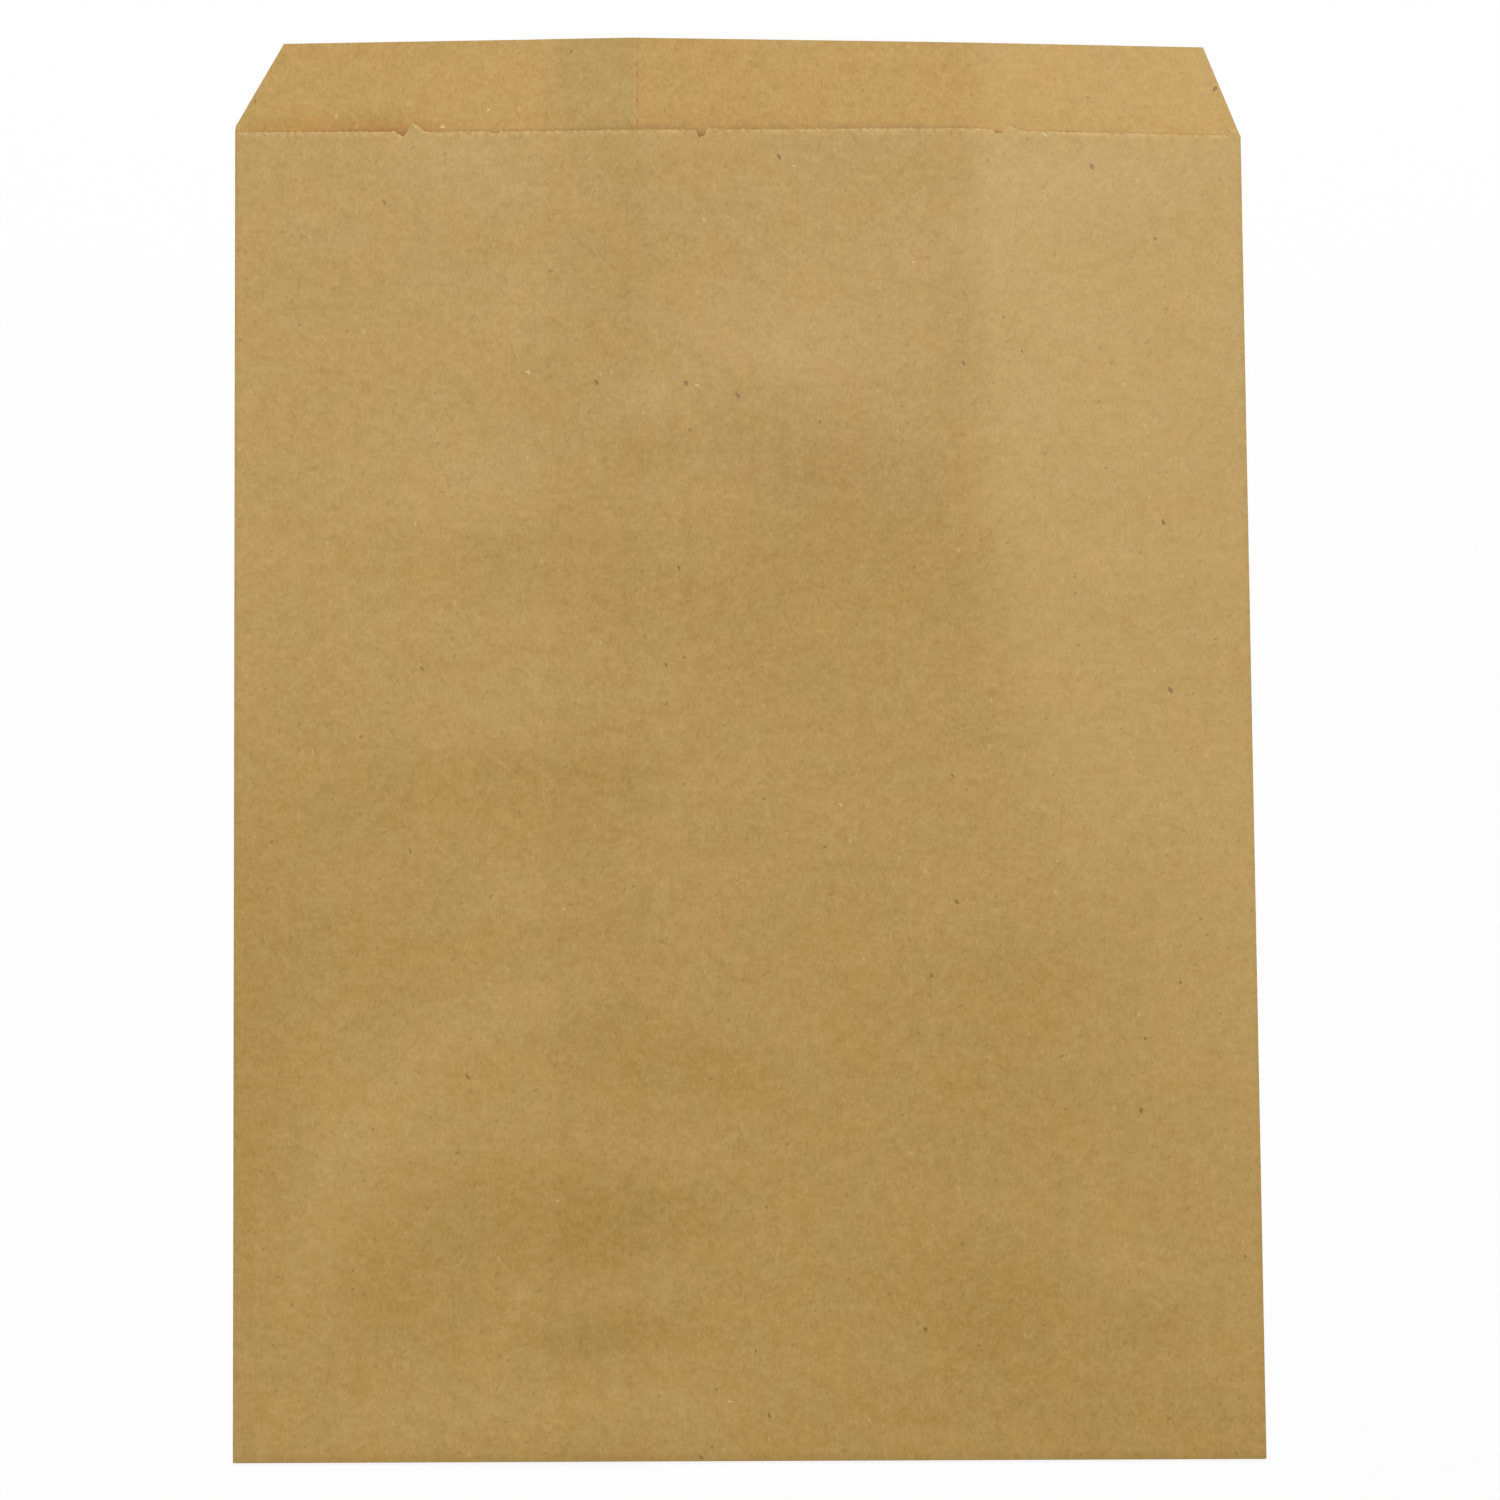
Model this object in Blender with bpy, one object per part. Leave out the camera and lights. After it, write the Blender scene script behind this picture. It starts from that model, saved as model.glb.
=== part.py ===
"""Flat kraft paper bag, lying on its back panel with its mouth towards +Y.

The bag is one sheet, cut, folded and glued. The sheet is wrapped into a tube, whose two long edges overlap in a
glued seam that runs up the back panel. At the bottom the front panel runs on past the fold as a flap, which is
turned under and glued to the back. At the mouth the front panel stops short, on the toothed line that the cutting
knife leaves, and the back panel stands above it as a lip with its corners cut off.

Units are metres, with +Z up. While it is modelled, x runs across the bag from its middle and y runs up from the
bottom fold. At the end the bag is moved so that the middle of its footprint is at the origin.
"""

import math

import bmesh
import bpy
from mathutils import Vector
from mathutils.geometry import delaunay_2d_cdt

# The sheet and the flat bag
PAPER = 0.0001
BAG_WIDTH = 0.216
FRONT_HEIGHT = 0.2842

# The folds: the air between the two panels there, how far in from a fold they stay pressed together
CREASE_GAP = 0.00015
CREASE_WEB = 0.00005
CREASE_STEPS = 4

# The glued seam in the back panel: the upper layer's cut edge, and how far the two layers overlap
SEAM_EDGE = -0.0223
SEAM_OVERLAP = 0.0174

# The bottom flap, which narrows away from the fold at each side
FLAP_HEIGHT = 0.0188
FLAP_NARROWING = 0.004

# How far a sheet takes to come down beside an edge that it lies over
DRAPE = 0.003

# The front panel's cut edge: a shallow bow, fine teeth, and a torn notch with a small tab at each knife joint
MOUTH_BOW = 0.0014
MOUTH_SLANT = 0.0005
TOOTH_PITCH = 0.00144
TOOTH_DEPTH = 0.00035
NOTCH_PLACE = -0.0724
NOTCH_PITCH = 0.064
NOTCH_WIDTH = 0.0024
NOTCH_DEPTH = 0.0013
TAB_WIDTH = 0.0034
TAB_HEIGHT = 0.0009

# The lip: its height above the ends of the front's cut edge, its peak at the seam, and its cut-off corners
LIP_HEIGHT = 0.0197
LIP_PEAK = 0.0213
LEFT_CUT_WIDTH = 0.0102
LEFT_CUT_START = 0.0016
RIGHT_CUT_WIDTH = 0.0078
RIGHT_CUT_START = 0.0004

# How the front stands off the back: the air in the bag, and how far from each edge it is at its full height
AIR = 0.0015
LEFT_SLOPE = 0.045
RIGHT_SLOPE = 0.060
BOTTOM_SLOPE = 0.034
MOUTH_SLOPE = 0.075
MOUTH_AIR = 0.0006
MOUTH_SHUT = 0.062
MOUTH_SHUT_SLOPE = 0.030

# Soft waves in the front: place across and up, half length, half width, angle in degrees and height
SOFT_WAVES = (
    (-0.072, 0.152, 0.038, 0.012, 3, 0.00045),
    (-0.062, 0.197, 0.026, 0.012, 0, 0.00045),
    (0.008, 0.195, 0.045, 0.038, -20, 0.00050),
    (0.058, 0.165, 0.100, 0.016, 96, 0.00040),
    (-0.048, 0.062, 0.036, 0.028, 20, 0.00060),
    (-0.028, 0.031, 0.020, 0.008, 5, 0.00030),
    (0.045, 0.050, 0.040, 0.016, 0, 0.00040),
)

# The mesh: the side of a square of paper between bends, and how near two points are to be one
CELL = 0.009
SAME_PLACE = 1e-7

KRAFT = (0.47, 0.30, 0.11, 1.0)
KRAFT_ROUGHNESS = 0.85

# The flat panels end where the rounded creases begin
CREASE_RADIUS = PAPER + CREASE_GAP / 2
SIDE = BAG_WIDTH / 2 - CREASE_RADIUS
BOTTOM = CREASE_RADIUS
INNER_SIDE = SIDE - CREASE_WEB
INNER_BOTTOM = BOTTOM + CREASE_WEB
SEAM_START = SEAM_EDGE - SEAM_OVERLAP
FLAP_SIDE = BAG_WIDTH / 2 - FLAP_NARROWING
FLAP_DRAPE_END = FLAP_HEIGHT + DRAPE


def ease(share):
    """Smooth step from 0 to 1."""
    share = min(max(share, 0.0), 1.0)
    return share * share * (3 - 2 * share)


def spread(stops, step):
    """Values from the lowest stop to the highest that include every stop and are at most one step apart."""
    stops = sorted(stops)
    values = [stops[0]]
    for low, high in zip(stops, stops[1:]):
        parts = max(1, math.ceil((high - low) / step - SAME_PLACE))
        values += [low + (high - low) * part / parts for part in range(1, parts)] + [high]
    return values


# The cut lines, as points in the plan


def mouth_base(x):
    """The front panel's cut line without its teeth."""
    across = x / SIDE
    return FRONT_HEIGHT + MOUTH_BOW * (1 - across * across) + MOUTH_SLANT * across / 2


def tooth(x):
    """The knife's triangular teeth, from 0 in a gap to 1 on a point."""
    phase = x / TOOTH_PITCH % 1.0
    return 1 - abs(2 * phase - 1)


def tooth_places(limit):
    """Where the toothed line has a corner, from left to right, within a distance from the middle."""
    count = math.floor(limit / TOOTH_PITCH * 2 - 0.5)
    return [step * TOOTH_PITCH / 2 for step in range(-count, count + 1)]


def notch_places():
    """Where the knife's joints fall across the bag."""
    room = NOTCH_WIDTH + TAB_WIDTH
    first = math.ceil((room - SIDE - NOTCH_PLACE) / NOTCH_PITCH)
    last = math.floor((SIDE - room - NOTCH_PLACE) / NOTCH_PITCH)
    return [NOTCH_PLACE + count * NOTCH_PITCH for count in range(first, last + 1)]


def torn(x):
    """How far the cut edge stands above its toothed line at and beside a knife joint."""
    for place in notch_places():
        beside = abs(x - place) / (NOTCH_WIDTH / 2)
        along = (x - place - NOTCH_WIDTH / 2) / TAB_WIDTH
        if beside < 1:
            return NOTCH_DEPTH * (beside - 1)
        if 0 < along < 1:
            return TAB_HEIGHT * ease(3 * along) * ease(2 * (1 - along))
    return 0.0


def mouth_line():
    """The front panel's cut edge, from the inside of the left crease to the inside of the right one."""
    joints = [place + side * NOTCH_WIDTH / 2 for place in notch_places() for side in (-1, 0, 1)]
    teeth = [x for x in tooth_places(INNER_SIDE) if all(abs(x - at) > TOOTH_PITCH / 6 for at in joints)]
    cut = [(x, mouth_base(x) + TOOTH_DEPTH * tooth(x) + torn(x)) for x in sorted(teeth + joints)]
    return [(-INNER_SIDE, mouth_base(-SIDE)), *cut, (INNER_SIDE, mouth_base(SIDE))]


def flap_half_width(y):
    """Half the flap's width at a height above the bottom fold."""
    along = min(max((y - BOTTOM) / (FLAP_HEIGHT - BOTTOM), 0.0), 1.0)
    return SIDE + (FLAP_SIDE - SIDE) * along


def flap_side():
    """The flap's right side, from the bottom crease up."""
    return [(flap_half_width(y), y) for y in spread((BOTTOM, FLAP_HEIGHT), CELL)]


def flap_line():
    """The flap's outline, up its left side, along its toothed edge and down its right side."""
    left = [(-x, y) for x, y in flap_side()]
    teeth = sorted({*tooth_places(FLAP_SIDE), SEAM_START})
    top = [(x, FLAP_HEIGHT + TOOTH_DEPTH * tooth(x)) for x in teeth]
    return left + top + flap_side()[::-1]


def lip_line():
    """The lip's cut edge, from the top of the left crease over to the top of the right one."""
    left, right = mouth_base(-SIDE), mouth_base(SIDE)
    left_corner = (LEFT_CUT_WIDTH - SIDE, left + LIP_HEIGHT)
    right_corner = (SIDE - RIGHT_CUT_WIDTH, right + LIP_HEIGHT)
    peak = (SEAM_EDGE, FRONT_HEIGHT + LIP_PEAK)
    top = [left_corner, peak, right_corner]
    stops = (left_corner[0], SEAM_START - DRAPE, SEAM_START, peak[0], right_corner[0])
    edge = [on_line(top, x) for x in spread(stops, 2 * CELL)]
    rise = [(-SIDE, left), (-SIDE, left + LEFT_CUT_START)]
    fall = [(SIDE, right + RIGHT_CUT_START), (SIDE, right)]
    return rise + edge + fall


def on_line(line, x):
    """The point at a place across on a line that runs from left to right."""
    for start, end in zip(line, line[1:]):
        if x <= end[0]:
            share = (x - start[0]) / (end[0] - start[0])
            return (x, start[1] + (end[1] - start[1]) * share)
    return line[-1]


# Heights of the sheet's faces over the plan


def over_flap(x, y):
    """How many papers higher the back panel lies because of the flap under it."""
    aside = max(abs(x) - flap_half_width(y), 0.0)
    above = max(y - FLAP_HEIGHT, 0.0)
    near_fold = min((y - BOTTOM) / DRAPE, 1.0)
    return near_fold * max(0.0, 1 - math.hypot(aside, above) / DRAPE)


def over_seam(x):
    """How many papers higher a sheet lies because of the seam's overlap under it."""
    aside = max(SEAM_START - x, x - SEAM_EDGE, 0.0)
    return max(0.0, 1 - aside / DRAPE)


def wave(x, y, place_x, place_y, length, width, angle, height):
    """One soft wave's height at a point."""
    turn = math.radians(angle)
    along = (x - place_x) * math.cos(turn) + (y - place_y) * math.sin(turn)
    across = (y - place_y) * math.cos(turn) - (x - place_x) * math.sin(turn)
    return height * math.exp(-((along / length) ** 2) - (across / width) ** 2)


def air_under(x, y):
    """How far the front panel stands off the back panel, over the gap at the creases."""
    sides = ease((SIDE + x) / LEFT_SLOPE) * ease((SIDE - x) / RIGHT_SLOPE)
    inside = sides * ease((y - BOTTOM) / BOTTOM_SLOPE)
    full = AIR + sum(wave(x, y, *values) for values in SOFT_WAVES)
    mouth = MOUTH_AIR * ease((MOUTH_SHUT - x) / MOUTH_SHUT_SLOPE)
    return inside * (mouth + (full - mouth) * ease((mouth_base(x) - y) / MOUTH_SLOPE))


def front_top(x, y):
    """The front panel's outer face."""
    return PAPER * (2 + over_flap(x, y) + over_seam(x)) + CREASE_GAP + air_under(x, y)


def front_under(x, y):
    """The front panel's inner face."""
    return front_top(x, y) - PAPER


def back_top(x, y, toward):
    """The back panel's inner face, on the side of the seam's cut edge where toward lies."""
    layers = 1 + over_seam(x) if toward < SEAM_EDGE else 1
    return PAPER * (layers + over_flap(x, y))


def back_under(x, y, toward):
    """The back panel's outer face, on the side of the seam's start where toward lies."""
    lift = over_seam(x) if toward < SEAM_START else 0
    return PAPER * (lift + over_flap(x, y))


def resting(_x, _y, _toward):
    """The plane that the bag lies on."""
    return 0.0


class Skin:
    """A mesh over a plan. Its vertices are found again by place, so faces made apart share their edges."""

    def __init__(self):
        self.mesh = bmesh.new()
        self.columns = {}

    def column(self, point):
        """The vertices over a plan point, by height."""
        return self.columns.setdefault(tuple(round(value / SAME_PLACE) for value in point), {})

    def vertex(self, point, height):
        """The vertex over a plan point at a height."""
        column = self.column(point)
        level = round(height / SAME_PLACE)
        if level not in column:
            column[level] = self.mesh.verts.new((*point, height))
        return column[level]

    def between(self, point, low, high):
        """The vertices over a plan point from one height to another, from the lowest up."""
        ends = {self.vertex(point, low), self.vertex(point, high)}
        column = self.column(point)
        inside = {vertex for vertex in column.values() if low < vertex.co.z < high}
        return sorted(ends | inside, key=lambda vertex: vertex.co.z)

    def face(self, *corners):
        """A triangle."""
        self.mesh.faces.new(corners)

    def surface(self, outline, inner, height, moved=None):
        """Triangles inside an outline, through its inner points. Moved points are taken to their other place."""
        moved = moved or {}
        points = list(outline) + list(inner)
        flat = [Vector(point) for point in points]
        border = list(range(len(outline)))
        inside_only = 1
        found = delaunay_2d_cdt(flat, [], [border], inside_only, SAME_PLACE)
        triangles, origins = found[2], found[3]
        for triangle in triangles:
            corners = [points[origins[index][0]] for index in triangle]
            corners = [moved.get(corner, corner) for corner in corners]
            self.face(*(self.vertex(corner, height(*corner)) for corner in corners))

    def band(self, first, second):
        """Triangles between two chains with as many vertices."""
        for index in range(len(first) - 1):
            self.face(first[index], first[index + 1], second[index])
            self.face(first[index + 1], second[index + 1], second[index])

    def fan(self, centre, chain):
        """Triangles from one vertex to a chain."""
        for start, end in zip(chain, chain[1:]):
            self.face(centre, start, end)

    def wall(self, line, low, high):
        """An upright wall along a plan line, through every vertex over the line's points."""
        for start, end in zip(line, line[1:]):
            toward = (start[0] + end[0]) / 2
            here = self.between(start, low(*start, toward), high(*start, toward))
            there = self.between(end, low(*end, toward), high(*end, toward))
            self.fan(there[0], here)
            self.fan(here[-1], there)


# The bag's parts, each added to the skin


def split(outline, place, line):
    """The two parts of a closed outline, left and right of an upright line that joins two of its points."""
    first, second = (index for index, point in enumerate(outline) if point[0] == place)
    one = outline[first : second + 1]
    other = outline[second:] + outline[: first + 1]
    upward = line[1:-1]
    parts = []
    for chain in (one, other):
        closes_down = chain[0][1] < chain[-1][1]
        parts.append(chain + (upward[::-1] if closes_down else upward))
    return sorted(parts, key=lambda part: sum(x for x, _ in part) / len(part))


def apart(points, others, gap):
    """The points that are at least a gap away from all the others."""
    return [point for point in points if all(math.dist(point, other) > gap for other in others)]


def add_front(skin, inside, border, grid, mouth):
    """The front panel: two faces on one pattern of triangles, and the cut edge between them."""
    outline = inside + mouth[-2:0:-1]
    to_crease = dict(zip(inside, border))
    skin.surface(outline, grid, front_under)
    skin.surface(outline, grid, front_top, to_crease)
    upper = [to_crease.get(point, point) for point in mouth]
    skin.band(
        [skin.vertex(point, front_under(*point)) for point in mouth],
        [skin.vertex(point, front_top(*point)) for point in upper],
    )


def add_back_inside(skin, inside, lip, places, levels, flap_sides):
    """The back panel's inner face, with the cut edge of the seam's upper layer standing on it."""
    outline = inside + lip[::-1]
    seam = [(SEAM_EDGE, y) for y in (INNER_BOTTOM, *levels[1:], on_line(lip, SEAM_EDGE)[1])]
    left, right = split(outline, SEAM_EDGE, seam)
    drapes = [(x, y) for x in places[1:-1] for y in (FLAP_HEIGHT, FLAP_DRAPE_END)]
    drapes += [(x, y) for x in (SEAM_START - DRAPE, SEAM_START) for y in levels[1:]]
    drapes = apart(sorted(set(drapes)), flap_sides, CELL / 4) + flap_sides
    before = [point for point in drapes if point[0] < SEAM_EDGE]
    beyond = [point for point in drapes if point[0] > SEAM_EDGE]
    skin.surface(left, before, lambda x, y: back_top(x, y, -SIDE))
    skin.surface(right, beyond, lambda x, y: back_top(x, y, SIDE))
    skin.wall(seam, lambda x, y, _: back_top(x, y, SIDE), lambda x, y, _: back_top(x, y, -SIDE))
    skin.wall(inside, back_top, lambda x, y, _: front_under(x, y))


def add_back_outside(skin, border, lip, places, levels):
    """The back panel's outer face, with the seam's lower layer and the bottom flap standing on it."""
    flap = flap_line()
    corner, far_corner = border.index(flap[0]), border.index(flap[-1])
    skin.surface(border[corner:far_corner] + flap[:0:-1], (), lambda x, y: 0.0)
    outline = border[:corner] + flap + border[far_corner + 1 :] + lip[-2:0:-1]
    top = on_line(lip, SEAM_START)[1]
    above_flap = [y for y in levels if y > FLAP_DRAPE_END - SAME_PLACE]
    seam = [(SEAM_START, y) for y in (flap[flap_index(flap)][1], *above_flap, top)]
    left, right = split(outline, SEAM_START, seam)
    drapes = [(x, FLAP_DRAPE_END) for x in places[1:-1]]
    drapes += [(SEAM_START - DRAPE, y) for y in above_flap[1:]]
    before = [point for point in drapes if point[0] < SEAM_START]
    beyond = [point for point in drapes if point[0] > SEAM_START]
    skin.surface(left, before, lambda x, y: back_under(x, y, -SIDE))
    skin.surface(right, beyond, lambda x, y: back_under(x, y, SIDE))
    skin.wall(seam, lambda x, y, _: back_under(x, y, SIDE), lambda x, y, _: back_under(x, y, -SIDE))
    skin.wall(flap, resting, back_under)


def flap_index(flap):
    """Where the flap's toothed edge crosses the seam's start."""
    return next(index for index, point in enumerate(flap) if point[0] == SEAM_START)


def add_creases(skin, border, inside):
    """The rounded folds, and the cut ends of the two side folds at the mouth."""
    rings = []
    for x, y in border:
        out_x = math.copysign(1, x) if abs(x) == SIDE else 0
        out_y = -1 if y == BOTTOM else 0
        over = front_top(x, y)
        under = 0.0 if out_y else back_under(x, y, x)
        ring = []
        for step in range(CREASE_STEPS + 1):
            turn = math.pi * step / CREASE_STEPS
            reach = CREASE_RADIUS * math.sin(turn) if 0 < step < CREASE_STEPS else 0
            height = (over + under) / 2 + (over - under) / 2 * math.cos(turn)
            ring.append(skin.vertex((x + out_x * reach, y + out_y * reach), height))
        rings.append(ring)
    for ring, following in zip(rings, rings[1:]):
        skin.band(ring, following)
    for end in (0, -1):
        outer, inner = border[end], inside[end]
        pressed = skin.vertex(outer, back_top(*outer, outer[0]))
        skin.fan(pressed, rings[end])
        web = [skin.vertex(inner, back_top(*inner, inner[0])), skin.vertex(inner, front_under(*inner))]
        skin.fan(pressed, [*web, rings[end][0]])


def bag_mesh():
    """The whole bag as one closed skin."""
    skin = Skin()
    left_top, right_top = mouth_base(-SIDE), mouth_base(SIDE)
    seam_lines = (SEAM_START - DRAPE, SEAM_START, SEAM_EDGE, SEAM_EDGE + DRAPE)
    places = spread((-SIDE, *seam_lines, SIDE), CELL)
    last_level = min(left_top, right_top) - CELL / 2
    levels = spread((BOTTOM, FLAP_HEIGHT, FLAP_DRAPE_END, last_level), CELL)
    border = [(-SIDE, y) for y in (left_top, *reversed(levels))]
    border += [(x, BOTTOM) for x in places[1:-1]]
    border += [(SIDE, y) for y in (*levels, right_top)]
    inside = [
        (min(max(x, -INNER_SIDE), INNER_SIDE), max(y, INNER_BOTTOM)) for x, y in border
    ]
    flap_sides = [(side * x, y) for x, y in flap_side()[1:-1] for side in (-1, 1)]
    grid = [(x, y) for x in places[1:-1] for y in levels[1:] if y < mouth_base(x) - CELL / 3]
    grid = apart(grid, flap_sides, CELL / 4) + flap_sides
    lip = lip_line()
    add_front(skin, inside, border, grid, mouth_line())
    add_back_inside(skin, inside, lip, places, levels, flap_sides)
    add_back_outside(skin, border, lip, places, levels)
    skin.wall(lip, back_under, back_top)
    add_creases(skin, border, inside)
    bmesh.ops.recalc_face_normals(skin.mesh, faces=skin.mesh.faces)
    return skin.mesh


def centred(mesh):
    """Moves a mesh so that the middle of its footprint is at the origin and it stands on z = 0."""
    low = [min(vertex.co[axis] for vertex in mesh.verts) for axis in range(3)]
    high = [max(vertex.co[axis] for vertex in mesh.verts) for axis in range(3)]
    shift = Vector((-(low[0] + high[0]) / 2, -(low[1] + high[1]) / 2, -low[2]))
    bmesh.ops.translate(mesh, verts=mesh.verts, vec=shift)


def kraft_paper():
    """Brown kraft paper."""
    material = bpy.data.materials.new("kraft_paper")
    material.use_nodes = True
    shader = material.node_tree.nodes["Principled BSDF"]
    shader.inputs["Base Color"].default_value = KRAFT
    shader.inputs["Roughness"].default_value = KRAFT_ROUGHNESS
    shader.inputs["Metallic"].default_value = 0.0
    return material


def main():
    """Builds the bag in an emptied scene."""
    for thing in list(bpy.data.objects):
        bpy.data.objects.remove(thing)
    mesh = bag_mesh()
    centred(mesh)
    data = bpy.data.meshes.new("paper_bag")
    mesh.to_mesh(data)
    mesh.free()
    data.materials.append(kraft_paper())
    bag = bpy.data.objects.new("paper_bag", data)
    bpy.context.scene.collection.objects.link(bag)


main()
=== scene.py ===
"""Makes the flat kraft paper bag: one sheet, cut, folded and glued, its paper, and the stage it lies on.

The sheet is laid out flat first. In that layout u runs across the sheet, from 0 at the middle of the front
panel, and v runs up from the bottom fold. The sheet is then folded round at both sides and under at the
bottom, and given its thickness. All sizes are in metres.
"""

import math

import bpy
from bpy.props import FloatProperty, FloatVectorProperty, PointerProperty
from bpy.types import Operator, Panel, PropertyGroup
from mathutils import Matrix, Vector, noise


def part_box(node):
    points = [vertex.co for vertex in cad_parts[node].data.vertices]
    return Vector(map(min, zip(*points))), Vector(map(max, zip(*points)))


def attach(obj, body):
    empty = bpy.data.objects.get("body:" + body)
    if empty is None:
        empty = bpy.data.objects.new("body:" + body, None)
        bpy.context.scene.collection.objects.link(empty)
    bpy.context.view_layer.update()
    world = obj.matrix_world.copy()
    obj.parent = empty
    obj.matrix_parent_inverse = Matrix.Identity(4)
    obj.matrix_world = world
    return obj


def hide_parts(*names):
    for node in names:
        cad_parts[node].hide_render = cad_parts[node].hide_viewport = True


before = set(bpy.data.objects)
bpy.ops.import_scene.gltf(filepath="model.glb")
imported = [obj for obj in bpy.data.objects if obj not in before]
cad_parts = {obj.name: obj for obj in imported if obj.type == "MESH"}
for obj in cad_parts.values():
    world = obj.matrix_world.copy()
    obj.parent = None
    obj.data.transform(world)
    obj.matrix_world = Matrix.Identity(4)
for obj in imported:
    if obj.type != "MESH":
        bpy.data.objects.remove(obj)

bl_info = {
    "name": "Kraft Paper Bag",
    "version": (1, 0, 0),
    "blender": (4, 5, 0),
    "location": "View3D > Sidebar > Paper Bag",
    "description": "Cuts, folds and finishes a flat kraft paper bag, and sets the stage for its picture",
    "category": "Object",
}

BOX_LOW, BOX_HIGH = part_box("paper_bag")
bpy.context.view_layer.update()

# The paper's thickness, the gap inside a crease, and the length over which paper comes down beside an edge
PAPER = 0.0001
CREASE_GAP = 0.00015
DRAPE = 0.003

# The seam, where the sheet's sides overlap, and the flap that is turned under the bottom
SEAM_EDGE = -0.0223
SEAM_OVERLAP = 0.0174
FLAP_HEIGHT = 0.0188
FLAP_NARROWING = 0.004

# The front panel, and the teeth and notches that the knife leaves
FRONT_HEIGHT = 0.2842
TOOTH_PITCH = 0.00144
TOOTH_DEPTH = 0.00035
NOTCH_WIDTH = 0.0024

# The lip, which is highest at the seam's edge, and its two cut corners
LIP_HEIGHT = 0.0197
LIP_PEAK = 0.0213
LEFT_CUT_WIDTH = 0.0102
LEFT_CUT_START = 0.0016
RIGHT_CUT_WIDTH = 0.0076
RIGHT_CUT_START = 0.0004

# Glued layers lie this far apart, so that each keeps its own faces
GLUE = 0.00001

BAG_WIDTH = BOX_HIGH[0] - BOX_LOW[0]
BAG_FOOT = BOX_LOW[1]
CREASE_RADIUS = (PAPER + CREASE_GAP) / 2
SIDE = BAG_WIDTH / 2 - CREASE_RADIUS - PAPER / 2
BOTTOM = CREASE_RADIUS + PAPER / 2
FOLD_LENGTH = math.pi * CREASE_RADIUS
SEAM_START = SEAM_EDGE - SEAM_OVERLAP
FLAP_SIDE = BAG_WIDTH / 2 - FLAP_NARROWING
BACK_START = SIDE + FOLD_LENGTH
LAYER = PAPER + GLUE

# How the front's cut edge runs: places across, and how far it stands above the panel's height there
MOUTH_LINE = (
    (-0.1080, -0.00025),
    (-0.0460, 0.00025),
    (-0.0040, 0.00075),
    (0.0500, 0.00130),
    (0.0580, 0.00090),
    (0.1080, 0.00025),
)

# Each notch in that edge: its place across, how deep it is, and how wide and high the tab to its right stands
KNIFE_JOINTS = (
    (-0.0724, 0.0009, 0.0040, 0.0020),
    (-0.0525, 0.0005, 0.0030, 0.0000),
    (-0.0084, 0.0016, 0.0030, 0.0003),
    (0.0556, 0.0008, 0.0038, 0.0010),
)

# How ragged the notches, the tabs and the teeth are: the mean share of their size, wanderings per metre, the
# row of the noise that those follow, and how far they go
NOTCH_RAGGED = (1.0, 1500, 0.7, 0.5)
TAB_RAGGED = (1.0, 1200, 1.7, 0.4)
TOOTH_RAGGED = (0.8, 400, 0.3, 0.5)

# How square a notch is, and how steeply a tab rises beside it and falls away from it
NOTCH_SQUARE = 2.5
TAB_RISE = 5.0
TAB_FALL = 1.6

# Soft waves in the front: place across and up, half length, half width, angle in degrees and height
SOFT_WAVES = (
    (-0.030, 0.0305, 0.016, 0.0060, 6, 0.00050),
    (-0.020, 0.059, 0.018, 0.0090, 0, 0.00050),
    (-0.052, 0.062, 0.024, 0.0160, 24, 0.00060),
    (-0.048, 0.090, 0.028, 0.0120, 18, 0.00050),
    (-0.074, 0.060, 0.024, 0.0150, 62, 0.00060),
    (-0.010, 0.088, 0.016, 0.0080, -26, 0.00040),
    (-0.048, 0.114, 0.026, 0.0070, 8, 0.00025),
    (-0.050, 0.150, 0.026, 0.0100, 8, 0.00055),
    (-0.070, 0.160, 0.036, 0.0140, 0, 0.00030),
    (-0.066, 0.198, 0.020, 0.0090, 0, 0.00040),
    (-0.020, 0.222, 0.012, 0.0070, 24, 0.00014),
    (-0.012, 0.238, 0.024, 0.0080, -12, 0.00014),
    (0.008, 0.224, 0.020, 0.0120, -14, 0.00016),
    (0.024, 0.212, 0.032, 0.0300, -24, 0.00060),
    (0.006, 0.196, 0.042, 0.0200, -6, 0.00080),
    (-0.050, 0.266, 0.016, 0.0060, 14, 0.00012),
    (0.000, 0.290, 0.044, 0.0260, 0, 0.00045),
    (-0.022, 0.286, 0.008, 0.0260, 0, 0.00022),
    (-0.078, 0.288, 0.010, 0.0100, 0, 0.00030),
    (-0.040, 0.290, 0.030, 0.0120, 0, 0.00012),
    (0.044, 0.042, 0.026, 0.0150, 4, 0.00065),
    (0.044, 0.108, 0.018, 0.0150, 4, 0.00040),
    (0.081, 0.034, 0.010, 0.0080, 0, 0.00040),
    (0.074, 0.080, 0.034, 0.0050, 88, 0.00015),
    (-0.044, 0.038, 0.020, 0.0022, 62, 0.00016),
)

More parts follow.
